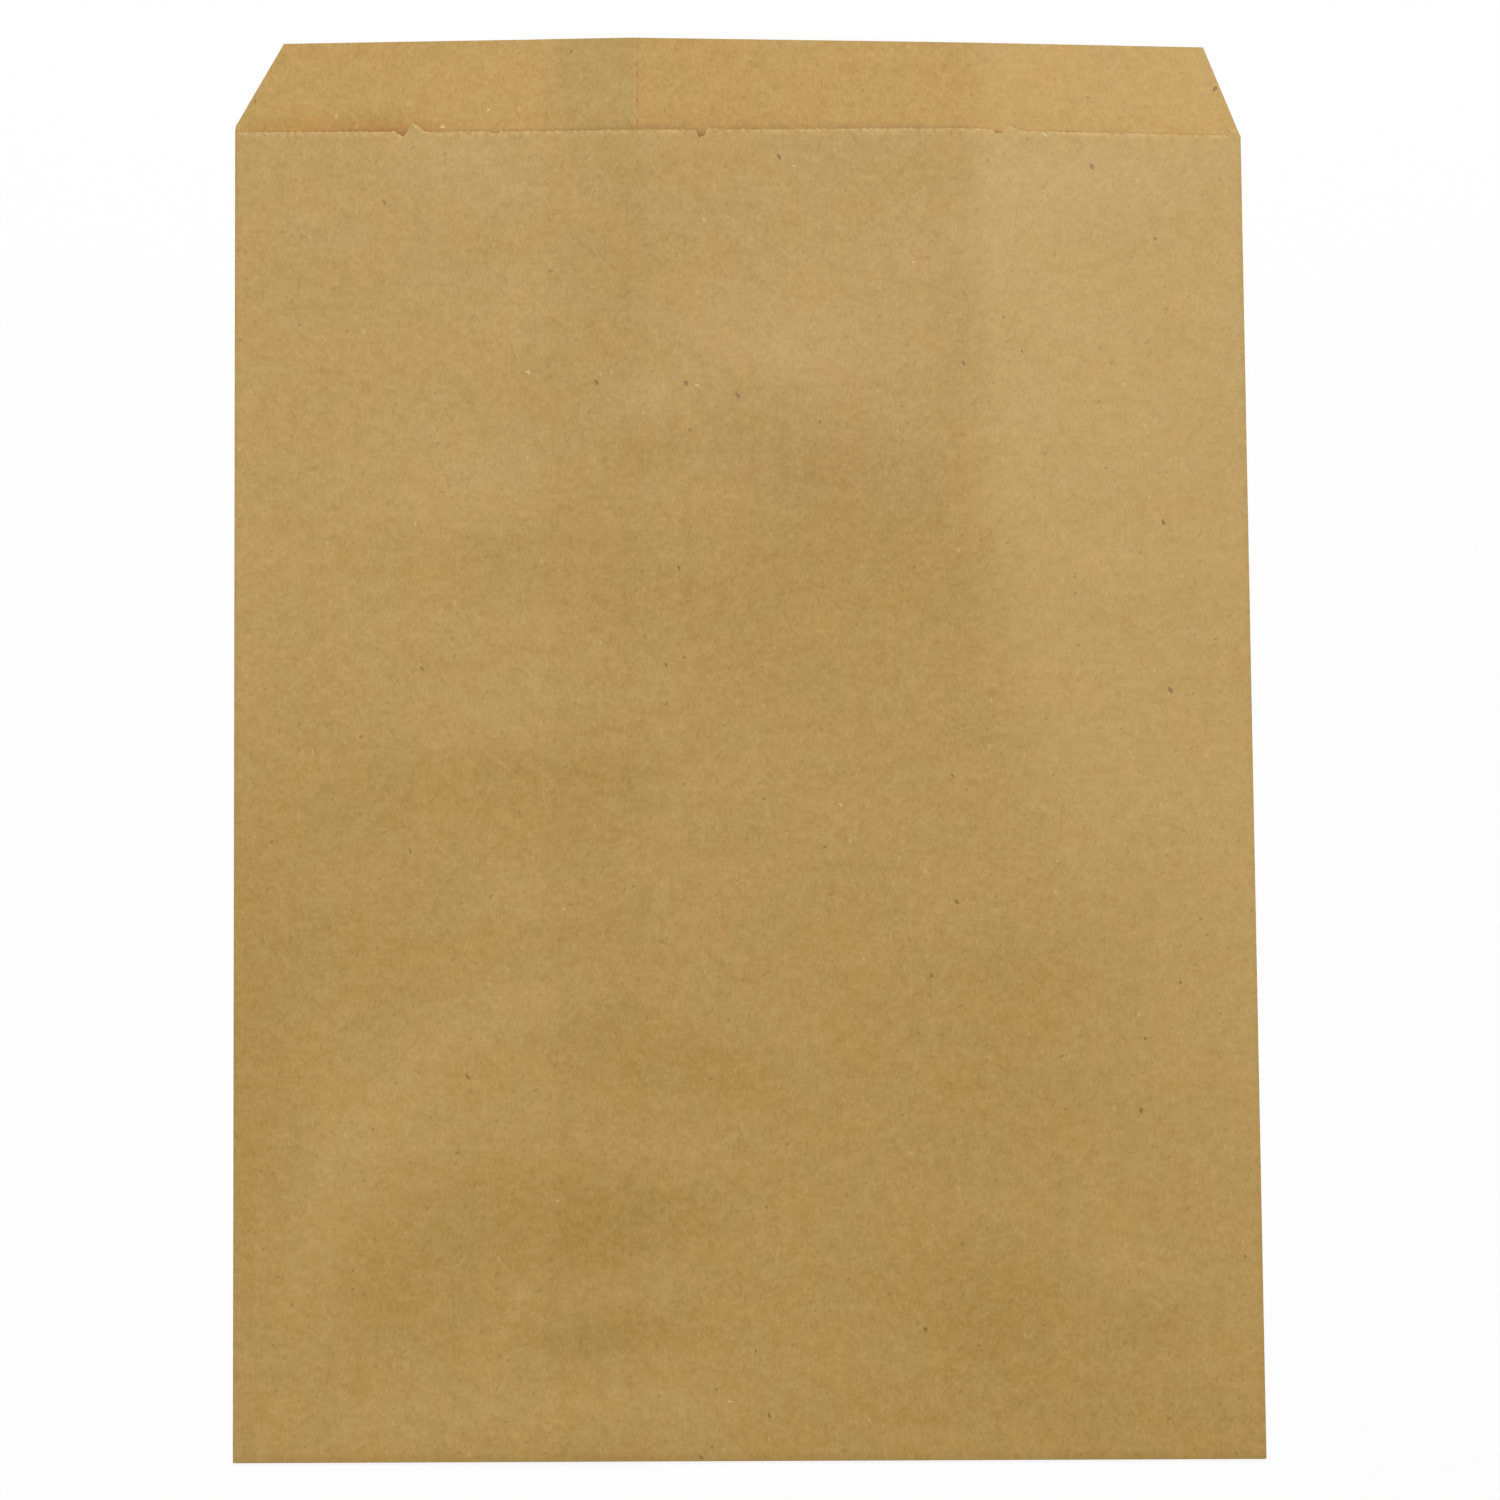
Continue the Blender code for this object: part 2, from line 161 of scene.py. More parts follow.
# Painted highlights and painted shade, patches that stand in for the light and shade over the front's soft
# waves, in the same terms, as a share of its colour
PAINTED_LIGHT_AND_SHADE = (
    (-0.089, 0.050, 0.028, 0.0080, 78, 0.08),
    (-0.070, 0.081, 0.020, 0.0070, 42, 0.07),
    (-0.046, 0.095, 0.016, 0.0050, 12, 0.04),
    (-0.060, 0.070, 0.026, 0.0080, 8, 0.06),
    (-0.084, 0.212, 0.030, 0.0400, 0, 0.03),
    (-0.060, 0.010, 0.050, 0.0060, 2, 0.06),
    (-0.020, 0.012, 0.024, 0.0050, 0, 0.06),
    (-0.051, 0.029, 0.014, 0.0024, 66, 0.05),
    (-0.025, 0.262, 0.022, 0.0080, 88, -0.03),
    (-0.050, 0.259, 0.014, 0.0060, 10, -0.02),
    (0.018, 0.204, 0.030, 0.0200, -16, -0.05),
    (0.014, 0.211, 0.029, 0.0110, -8, -0.11),
    (-0.020, 0.214, 0.010, 0.0070, 30, -0.07),
    (0.062, 0.012, 0.045, 0.0080, 0, -0.035),
    (-0.012, 0.086, 0.018, 0.0090, 0, -0.04),
    (0.052, 0.103, 0.018, 0.0080, 0, -0.035),
    (0.052, 0.028, 0.014, 0.0120, 0, -0.06),
    (0.084, 0.027, 0.008, 0.0060, 0, -0.05),
    (-0.104, 0.092, 0.048, 0.0080, 90, -0.06),
    (-0.102, 0.175, 0.034, 0.0070, 90, 0.025),
    (-0.107, 0.210, 0.070, 0.0030, 90, 0.04),
    (-0.076, 0.112, 0.036, 0.0180, 0, -0.025),
    (-0.058, 0.046, 0.030, 0.0100, 12, -0.035),
    (-0.026, 0.049, 0.020, 0.0070, 4, -0.04),
    (-0.030, 0.026, 0.018, 0.0045, 4, -0.05),
    (0.046, 0.066, 0.024, 0.0140, 84, -0.025),
    (-0.062, 0.281, 0.052, 0.0034, 0, 0.05),
    (-0.072, 0.168, 0.036, 0.0160, 0, 0.015),
    (-0.084, 0.188, 0.026, 0.0110, 0, 0.02),
)

# How much darker the front is over the seam
SEAM_TONE = 0.035

# How softly the glued strip ends, and how far below the front's cut its fibres are loose
GLUE_EDGE = 0.0016
CUT_WEAR = 0.0011

# Painted shade on the inner face above the mouth, where the front's raised edge shades it, warm as light
# bounced between
# the layers: how strong it is at places across, and how far up that reaches. All other places count as far
# above the mouth.
PAINTED_MOUTH_SHADE = (
    (-0.100, 0.4),
    (-0.085, 0.7),
    (-0.076, 1.0),
    (-0.070, 0.6),
    (-0.060, 0.1),
    (0.005, 0.3),
    (0.040, 0.1),
)
MOUTH_SHADE_START = 0.0002
MOUTH_SHADE_LENGTH = 0.0050
FAR_ABOVE = 1.0

# A broken line of painted shade along the front's cut edge, where the edge shades the paper behind it: how
# far above the edge it is full, the length over which it then ends, and its reach below
EDGE_SHADE_START = 0.0001
EDGE_SHADE_LENGTH = 0.0006
EDGE_SHADE_REACH = 0.0030

# A painted sheen: paler, whiter paper right of the soft bend, which stands in for the light's sheen there:
# how wide its edge is, where and over what length it fades downwards, how much is left below, and how soon
# that ends at the bottom fold
SHEEN_EDGE = ((0.060, 0.030), (0.170, 0.022), (0.215, 0.010), (0.310, 0.007))
SHEEN_FOOT = ((0.060, 0.136), (0.108, 0.088))
SHEEN_FADE = 0.090
SHEEN_LEFT = 0.38
SHEEN_END = 0.040

# The air between the panels: its depth, the lengths over which it grows from each edge, how far above the
# mouth it would end, and the height of the strip at the foot that is pressed flat
AIR = 0.0010
LEFT_SLOPE = 0.045
RIGHT_SLOPE = 0.060
BOTTOM_SLOPE = 0.110
MOUTH_SLOPE = 0.120
MOUTH_REST = 0.0214
PRESSED = 0.012

# The lengths over which the waves grow from the side folds and from the pressed strip
EDGE_SLOPE = 0.020
PRESSED_SLOPE = 0.014

# The cockling of paper that has been damp and dried, broad and fine: waves per metre across and up, their row
# in the noise and their height, and how far from the folds they reach their full height
COCKLES = ((45, 60, 0.5, 0.00014), (130, 130, 4.5, 0.00005))
COCKLE_EDGE = 0.012

# The soft bend that both panels share, as places up and across, how high it stands off the floor, and the
# lengths over which it rises from the left and from the bottom
BEND_LINE = (
    (0.0, 0.074),
    (0.070, 0.070),
    (0.110, 0.065),
    (0.180, 0.053),
    (0.210, 0.051),
    (0.310, 0.051),
)
BEND_HEIGHT = 0.0008
BEND_LENGTH = 0.090
BEND_START = 0.120

# The mesh: steps across the front and the back, beside the seam's edge and inside a notch, and steps up
FRONT_STEP = 0.00144
BACK_STEP = 0.0032
SEAM_STEP = 0.0004
NOTCH_STOPS = (-1, -0.8, 0, 0.8, 1)
ROW_STEP = 0.0021
FLAP_STEP = 0.00273
FOLD_STEPS = 6
EDGE_CUTS = 3

# The last rows follow the cut lines. On the back some of them crowd together just above the mouth: what share
# of the rows ends at the mouth and above the crowd, how far up the crowd reaches, and its most at low corners
EDGE_ROWS = 12
EDGE_BAND = 0.008
MOUTH_SHARE = 0.17
CROWD_SHARE = 0.67
CROWD_HEIGHT = 0.0042
CROWD_MOST = 0.6

# How near two places have to lie to be the same, and a place to a cut to be on it
SAME = 1e-6
ON_CUT = 5e-5

# Faces that meet at less than this many degrees are shaded as one smooth surface
SMOOTH_ANGLE = 40

# The pulp's unevenness, from broad clouds to single fibres: its scale per metre, its detail and roughness,
# and how much it lightens and darkens the paper. Fibres are drawn out up the sheet.
GRAINS = {
    "clouds": (32.0, 3.0, 0.6, 0.15),
    "mottle": (300.0, 4.0, 0.6, 0.35),
    "pulp": (800.0, 3.0, 0.6, 0.38),
    "fibre": (1700.0, 3.0, 0.7, 0.46),
}
FIBRE_DRAWN = 0.4

# How red, green and blue follow when the paper is lighter or darker, and the noise that turns its hue
SHADE_SHARES = (0.87, 1.18, 3.3)
HUE_GRAIN = (70.0, 5.0, 0.6)
HUE_RANGE = (0.36, 0.64)
REDDER = (1.022, 0.989, 0.95, 1.0)
GREENER = (0.978, 1.011, 1.05, 1.0)

# How strongly the painted sheen and the worn cut edge show, in which range of the grains wear, the painted
# shade above the mouth and the painted shade along the edges come up, and how ragged the painted shade's
# edges are
SHEEN_SHARE = 0.082
WORN_SHARE = 0.45
WORN_RANGE = (0.38, 0.60)
SHADE_PATCH_RANGE = (0.26, 0.44)
EDGE_SHADE_RANGE = (0.49, 0.60)
SHADE_RAGGED = 0.0012

# Flecks: the turn of their pattern in radians, its cells per metre, their size in a cell, the share of cells
# that stay empty, and how much they colour the paper
DARK_FLECKS = (
    (0.5, 240.0, 0.076, 0.974, 0.73),
    (2.1, 300.0, 0.064, 0.930, 0.50),
    (-0.8, 480.0, 0.115, 0.800, 0.27),
)
LIGHT_FLECKS = (
    (1.2, 190.0, 0.044, 0.988, 0.52),
    (0.2, 420.0, 0.110, 0.975, 0.20),
)

# A fleck's length for its width, the size of the smallest, the softness of its edge, and how often and how
# far that edge wanders in a cell
FLECK_LENGTH = 2.0
FLECK_LEAST = 0.35
FLECK_EDGE = 0.3
FLECK_BENDS = 5.0
FLECK_WANDER = 0.2

# The finish: roughness and its unevenness, how much rougher the paper looks at a grazing angle, and its bumps
ROUGHNESS = 0.40
ROUGH_CHANGE = 0.15
GRAZING = (0.45, 0.95)
GRAZING_ROUGHNESS = 0.42
BUMP_HEIGHT = 0.00005
BUMP_STRENGTH = 0.35

# The floor: its size, how far below the bag it lies, its colour, and the share of white that the camera sees
# on it, from this near the bag to this far away
WHITE = (1.0, 1.0, 1.0, 1.0)
FLOOR_SIZE = 6.0
FLOOR_DROP = 0.00002
FLOOR_COLOUR = (0.9, 0.9, 0.9, 1.0)
LIFT_RANGE = (0.3, 1.2)
LIFT = (0.85, 1.0)

# Each lamp: its name, its place, its size and the setting that holds its power
LAMPS = (
    ("key_lamp", (0.18, 1.55, 1.35), 1.0, "key_power"),
    ("second_lamp", (-0.70, -1.30, 1.00), 0.7, "second_power"),
)

# The camera: its place in millimetres from the middle of the bottom fold, its turn in degrees, the width of
# its sensor in millimetres, and the nearest and furthest that it sees
CAMERA_PLACE = (-101.4, -130.1, 1667.2)
CAMERA_TURN = (9.565, -3.429, -0.512)
SENSOR = 36.0
NEAREST = 0.01
FURTHEST = 20.0


def ease(share):
    """Smooth step from 0 to 1."""
    share = min(max(share, 0.0), 1.0)
    return share * share * (3 - 2 * share)


def between(stops, place):
    """A value read from a line of places and values."""
    for (low, first), (high, second) in zip(stops, stops[1:]):
        if place <= high:
            return first + (second - first) * max(place - low, 0.0) / (high - low)
    return stops[-1][1]


def spread(stops, step):
    """Values from the lowest stop to the highest that include every stop and are at most one step apart."""
    stops = sorted(stops)
    values = [stops[0]]
    for low, high in zip(stops, stops[1:]):
        parts = max(1, math.ceil((high - low) / step - SAME))
        values += [low + (high - low) * part / parts for part in range(1, parts)] + [high]
    return values


# The cut lines of the flat sheet


def mouth_base(x):
    """The front panel's cut line without its teeth."""
    return FRONT_HEIGHT + between(MOUTH_LINE, x)


def ragged(x, mean, per_metre, row, change):
    """A share that wanders about its mean along an edge."""
    return mean + change * noise.noise(Vector((x * per_metre, row, 0.0)))


def torn(x):
    """How far the front's cut line stands above its base at and beside a knife joint."""
    for place, depth, tab_width, tab_height in KNIFE_JOINTS:
        beside = (x - place) / (NOTCH_WIDTH / 2)
        along = (beside - 1) * NOTCH_WIDTH / 2 / tab_width
        if abs(beside) < 1:
            return -depth * (1 - abs(beside) ** NOTCH_SQUARE) * ragged(x, *NOTCH_RAGGED)
        if 0 < along < 1:
            return tab_height * ragged(x, *TAB_RAGGED) * ease(TAB_RISE * along) * ease(TAB_FALL * (1 - along))
    return 0.0


def tooth(x):
    """The knife's teeth, from 0 in a gap to 1 on a point, a little uneven along the edge."""
    phase = x / TOOTH_PITCH % 1.0
    return (1 - abs(2 * phase - 1)) * ragged(x, *TOOTH_RAGGED)


def lip_top(x):
    """The lip's cut edge, with its two cut-off corners."""
    left, right = mouth_base(-SIDE), mouth_base(SIDE)
    corners = (
        (-SIDE, left + LEFT_CUT_START),
        (LEFT_CUT_WIDTH - SIDE, left + LIP_HEIGHT),
        (SEAM_EDGE, FRONT_HEIGHT + LIP_PEAK),
        (SIDE - RIGHT_CUT_WIDTH, right + LIP_HEIGHT),
        (SIDE, right + RIGHT_CUT_START),
    )
    for start, end in zip(corners, corners[1:]):
        if x <= end[0]:
            share = (x - start[0]) / (end[0] - start[0])
            return start[1] + (end[1] - start[1]) * share
    return corners[-1][1]


def folded_x(u):
    """Where a place across the sheet comes to lie across the bag."""
    beyond = abs(u) - BACK_START
    if beyond > 0:
        return math.copysign(1.0, u) * (SIDE - beyond)
    return max(-SIDE, min(SIDE, u))


def sheet_top(u):
    """The top of the flat sheet at a place across it: the cut line of the front, the folds or the lip."""
    x = folded_x(u)
    if abs(u) <= SIDE:
        return mouth_base(x) + torn(x)
    if abs(u) >= BACK_START:
        return lip_top(x)
    turned = (abs(u) - SIDE) / FOLD_LENGTH
    return mouth_base(x) + (lip_top(x) - mouth_base(x)) * turned


# How the layers lie on each other


def over_flap(x, y):
    """How many layers higher the back panel lies because of the flap under it."""
    along = min(max((y - BOTTOM) / (FLAP_HEIGHT - BOTTOM), 0.0), 1.0)
    aside = max(abs(x) - SIDE - (FLAP_SIDE - SIDE) * along, 0.0)
    above = max(y - FLAP_HEIGHT - TOOTH_DEPTH, 0.0)
    return max(0.0, 1 - math.hypot(aside, above) / DRAPE)


def over_seam(x):
    """How many layers higher a sheet lies because of the seam's overlap under it."""
    aside = max(SEAM_START - x, x - SEAM_EDGE, 0.0)
    return max(0.0, 1 - aside / DRAPE)


def wave(x, y, place_x, place_y, length, width, angle, height):
    """One soft wave's height at a point."""
    turn = math.radians(angle)
    along = (x - place_x) * math.cos(turn) + (y - place_y) * math.sin(turn)
    across = (y - place_y) * math.cos(turn) - (x - place_x) * math.sin(turn)
    return height * math.exp(-((along / length) ** 2) - (across / width) ** 2)


def cockle(x, y):
    """The small unevenness of paper that has been damp and dried."""
    return sum(height * noise.noise(Vector((x * across, y * up, row))) for across, up, row, height in COCKLES)


def air_under(x, y):
    """How far the front panel stands off the back panel."""
    sides = ease((SIDE + x) / LEFT_SLOPE) * ease((SIDE - x) / RIGHT_SLOPE)
    rising = ease((y - PRESSED) / BOTTOM_SLOPE) * ease((mouth_base(x) + MOUTH_REST - y) / MOUTH_SLOPE)
    inside = ease((SIDE - abs(x)) / EDGE_SLOPE) * ease((y - PRESSED) / PRESSED_SLOPE)
    waves = sum(wave(x, y, *values) for values in SOFT_WAVES)
    near_edge = max(0.0, min(1.0, (SIDE - abs(x)) / COCKLE_EDGE, (y - BOTTOM) / COCKLE_EDGE))
    return max(0.0, AIR * sides * rising + inside * waves + near_edge * cockle(x, y))


def bend(x, y):
    """How far the whole bag stands off the floor along its soft bend."""
    line = between(BEND_LINE, y)
    fall = (x - line) / (SIDE - line)
    height = 1 - fall if fall > 0 else ease(1 - (line - x) / BEND_LENGTH)
    return BEND_HEIGHT * max(height, 0.0) * ease(y / BEND_START)


def back_middle(x, y, upper):
    """The middle of the back panel's paper, on the seam's upper or lower layer."""
    lift = over_seam(x) if upper else 0.0
    return PAPER / 2 + LAYER * (lift + over_flap(x, y))


def front_middle(x, y):
    """The middle of the front panel's paper."""
    return PAPER / 2 + LAYER * (1 + over_flap(x, y) + over_seam(x)) + CREASE_GAP + air_under(x, y)


def folded(u, v):
    """Where a point of the flat sheet comes to lie in the folded bag, soft bend and all."""
    place = laid(u, v)
    place.z += bend(place.x, place.y)
    return place


def laid(u, v):
    """Where a point of the flat sheet comes to lie when the bag is folded on a flat floor."""
    x = folded_x(u)
    y = BOTTOM + max(v, 0.0)
    if v < 0:
        turn = min(-v / CREASE_RADIUS, math.pi)
        over, under = front_middle(x, BOTTOM), PAPER / 2
        height = (over + under) / 2 + (over - under) / 2 * math.cos(turn)
        flat = max(-v - FOLD_LENGTH, 0.0)
        return Vector((x, BOTTOM - CREASE_RADIUS * math.sin(turn) + flat, height))
    if abs(u) <= SIDE:
        return Vector((x, y, front_middle(x, y)))
    upper = u < 0
    if abs(u) >= BACK_START:
        return Vector((x, y, back_middle(x, y, upper)))
    turn = (abs(u) - SIDE) / CREASE_RADIUS
    over, under = front_middle(x, y), back_middle(x, y, upper)
    height = (over + under) / 2 + (over - under) / 2 * math.cos(turn)
    return Vector((x + math.copysign(CREASE_RADIUS * math.sin(turn), u), y, height))


# Laying out, cutting and folding the sheet


def sheet_columns():
    """Places across the flat sheet for its grid, from the seam's upper edge round to its lower edge."""
    joints = []
    for place, _, tab_width, _ in KNIFE_JOINTS:
        joints += [place + side * NOTCH_WIDTH / 2 for side in NOTCH_STOPS]
        joints.append(place + NOTCH_WIDTH / 2 + tab_width / 4)
    lines = (SEAM_START - DRAPE, SEAM_START, SEAM_EDGE, SEAM_EDGE + DRAPE)
    front = spread((-SIDE, *joints, *lines, SIDE), FRONT_STEP)
    fold = [FOLD_LENGTH * step / FOLD_STEPS for step in range(1, FOLD_STEPS)]
    edge = SEAM_STEP
    left_lines = (SEAM_EDGE, SEAM_EDGE - edge, SEAM_START, SEAM_START - DRAPE, LEFT_CUT_WIDTH - SIDE, -SIDE)
    beside = (SEAM_EDGE + 2 * edge, SEAM_EDGE + edge, SEAM_EDGE)
    right_lines = (SIDE, SIDE - RIGHT_CUT_WIDTH, *beside, SEAM_START + edge, SEAM_START)
    left = [-BACK_START - (x + SIDE) for x in reversed(spread(left_lines, BACK_STEP))]
    right = [BACK_START + (SIDE - x) for x in reversed(spread(right_lines, BACK_STEP))]
    return left + [-SIDE - at for at in reversed(fold)] + front + [SIDE + at for at in fold] + right


def sheet_rows():
    """Places up the flat sheet for its grid. The last rows are shares of the way from the band to the cut."""
    flap = FLAP_HEIGHT - BOTTOM + FOLD_LENGTH
    fold = [-FOLD_LENGTH * step / FOLD_STEPS for step in range(FOLD_STEPS)]
    under = [-at for at in reversed(spread((FOLD_LENGTH, flap), FLAP_STEP))]
    stops = (0.0, FLAP_HEIGHT - BOTTOM, FLAP_HEIGHT - BOTTOM + DRAPE, FRONT_HEIGHT - EDGE_BAND)
    return under + fold[:0:-1] + spread(stops, ROW_STEP)


def edge_row(u, share):
    """How high a row of the edge band lies. On the back panel the rows crowd together above the mouth."""
    low, high, mouth = FRONT_HEIGHT - EDGE_BAND, sheet_top(u), mouth_base(folded_x(u))
    crowd = min(mouth + CROWD_HEIGHT, mouth + (high - mouth) * CROWD_MOST)
    back = between(((0.0, low), (MOUTH_SHARE, mouth), (CROWD_SHARE, crowd), (1.0, high)), share)
    front = low + (high - low) * share
    turned = min(max((abs(u) - SIDE) / FOLD_LENGTH, 0.0), 1.0)
    return front + (back - front) * turned


def select_only(mesh, kind, chosen):
    """Selects the chosen faces or edges of a mesh and nothing else."""
    for group in (mesh.vertices, mesh.edges, mesh.polygons):
        for item in group:
            item.select = False
    for item in getattr(mesh, kind):
        item.select = chosen(item)


def laid_sheet():
    """The flat sheet: a grid at its true size, cut to the outline, with teeth along its knife cuts."""
    columns, rows = sheet_columns(), sheet_rows()
    across, fixed = len(columns) - 1, len(rows) - 1
    up = fixed + EDGE_ROWS
    bpy.ops.object.select_all(action="DESELECT")
    bpy.ops.mesh.primitive_grid_add(x_subdivisions=across, y_subdivisions=up, size=1.0)
    sheet = bpy.context.object
    sheet.name = "folded_sheet"
    mesh = sheet.data
    mesh.name = "folded_sheet"
    for vertex in mesh.vertices:
        u = columns[round((vertex.co.x + 0.5) * across)]
        row = round((vertex.co.y + 0.5) * up)
        v = rows[min(row, fixed)]
        if row > fixed:
            v = edge_row(u, (row - fixed) / EDGE_ROWS) - BOTTOM
        vertex.co = (u, v, 0.0)
    cut_waste(sheet)
    cut_teeth(sheet)
    return sheet


def cut_waste(sheet):
    """Cuts away what lies beside the bottom flap, and narrows the flap."""
    mesh = sheet.data

    def beside_flap(face):
        return face.center.y < 0 and abs(face.center.x) > SIDE

    select_only(mesh, "polygons", beside_flap)
    bpy.ops.object.mode_set(mode="EDIT")
    bpy.ops.mesh.select_mode(type="FACE")
    bpy.ops.mesh.delete(type="FACE")
    bpy.ops.object.mode_set(mode="OBJECT")
    for vertex in mesh.vertices:
        down = max(-vertex.co.y - FOLD_LENGTH, 0.0)
        vertex.co.x *= 1 - FLAP_NARROWING / SIDE * down / (FLAP_HEIGHT - BOTTOM) if down else 1.0


def cut_teeth(sheet):
    """Divides the two edges that the knife cut, and moves their points to the teeth."""
    mesh = sheet.data
    lowest = min(vertex.co.y for vertex in mesh.vertices)

    def on_mouth(point):
        return abs(point.x) <= SIDE + SAME and point.y > sheet_top(point.x) - BOTTOM - ON_CUT

    def on_flap(point):
        return point.y < lowest + SAME

    def knife_cut(edge):
        ends = [mesh.vertices[index].co for index in edge.vertices]
        return all(on_mouth(end) for end in ends) or all(on_flap(end) for end in ends)

    select_only(mesh, "edges", knife_cut)
    bpy.ops.object.mode_set(mode="EDIT")
    bpy.ops.mesh.select_mode(type="EDGE")
    bpy.ops.mesh.subdivide(number_cuts=EDGE_CUTS)
    bpy.ops.object.mode_set(mode="OBJECT")
    for vertex in mesh.vertices:
        if not vertex.select:
            continue
        cut = TOOTH_DEPTH * tooth(vertex.co.x)
        if vertex.co.y > 0:
            vertex.co.y = sheet_top(vertex.co.x) - BOTTOM + cut
        else:
            vertex.co.y += cut - TOOTH_DEPTH


def fold_sheet(sheet):
    """Keeps the flat layout as the sheet's UV map, then folds the sheet into the bag."""
    mesh = sheet.data
    layout = mesh.uv_layers[0] if mesh.uv_layers else mesh.uv_layers.new()
    layout.name = "sheet"
    for loop in mesh.loops:
        point = mesh.vertices[loop.vertex_index].co
        layout.data[loop.index].uv = (point.x, point.y)
    points = [(vertex.co.x, vertex.co.y) for vertex in mesh.vertices]
    for name, mark in MARKS.items():
        layer = mesh.attributes.new(name, "FLOAT", "POINT")
        layer.data.foreach_set("value", [mark(u, v) for u, v in points])
    for vertex, (u, v) in zip(mesh.vertices, points):
        vertex.co = folded(u, v) + Vector((0.0, BAG_FOOT, 0.0))


def cut_mark(u, v):
    """1 on the cut edges whose loose fibres show, 0 away from them."""
    beyond = abs(u) - BACK_START
    if abs(u) <= SIDE and v > 0:
        return ease(1 - (mouth_base(u) + torn(u) - BOTTOM - v) / CUT_WEAR)
    if u < 0 and beyond > 0:
        return 1.0 if folded_x(u) > SEAM_EDGE - ON_CUT else 0.0
    return 0.0


def glued_mark(u, v):
    """1 where the glue of the seam shows through the upper layer above the flap, 0 elsewhere."""
    if abs(u) < BACK_START or u > 0 or v < 0:
        return 0.0
    return ease((folded_x(u) - SEAM_START) / GLUE_EDGE + 0.5)


def above_mark(u, v):
    """How far above the front's cut edge a place on the back panel lies. Elsewhere it counts as far above."""
    if abs(u) < BACK_START or v < 0:
        return FAR_ABOVE
    return v + BOTTOM - mouth_base(folded_x(u))


def mouth_shade_mark(u, v):
    """How strong the painted shade is on the back panel's inner face above the front's cut edge."""
    return between(PAINTED_MOUTH_SHADE, folded_x(u)) if abs(u) > BACK_START else 0.0


def edge_shade_mark(u, v):
    """1 on the lower layer just beside the seam's upper edge, where a painted shadow of that edge lies, 0
    elsewhere.
    """
    beside = folded_x(u) - SEAM_EDGE
    return 1.0 if u > BACK_START and -ON_CUT < beside < SEAM_STEP + ON_CUT else 0.0


def tone_mark(u, v):
    """How much lighter or darker the paper is: painted highlights and shade over its soft waves, and darker
    over the seam.
    """
    x, y = folded_x(u), v + BOTTOM
    if abs(u) > BACK_START:
        return 0.0
    return sum(wave(x, y, *values) for values in PAINTED_LIGHT_AND_SHADE) - SEAM_TONE * over_seam(x)


def painted_sheen_mark(u, v):
    """1 where a painted sheen makes the paper paler right of the soft bend, 0 left of it."""
    x, y = folded_x(u), v + BOTTOM
    foot = between(SHEEN_FOOT, x)
    rise = SHEEN_LEFT * ease(y / SHEEN_END) + (1 - SHEEN_LEFT) * ease((y - foot) / SHEEN_FADE + 0.5)
    return ease((x - between(BEND_LINE, y)) / between(SHEEN_EDGE, y) + 0.5) * rise


MARKS = {
    "cut": cut_mark,
    "glued": glued_mark,
    "above": above_mark,
    "brown": mouth_shade_mark,
    "dirt": edge_shade_mark,
    "tone": tone_mark,
    "pale": painted_sheen_mark,
}


def solid_paper(sheet):
    """Gives the sheet its thickness, half to each side, with its own materials inside and on its cut rim."""
    thick = sheet.modifiers.new("paper", "SOLIDIFY")
    thick.thickness = PAPER
    thick.offset = 0.0
    thick.use_even_offset = False
    thick.material_offset = 1
    thick.material_offset_rim = 2
    bpy.ops.object.select_all(action="DESELECT")
    sheet.select_set(True)
    bpy.context.view_layer.objects.active = sheet
    bpy.ops.object.modifier_apply(modifier=thick.name)
    bpy.ops.object.shade_smooth_by_angle(angle=math.radians(SMOOTH_ANGLE))


# Paper finishes


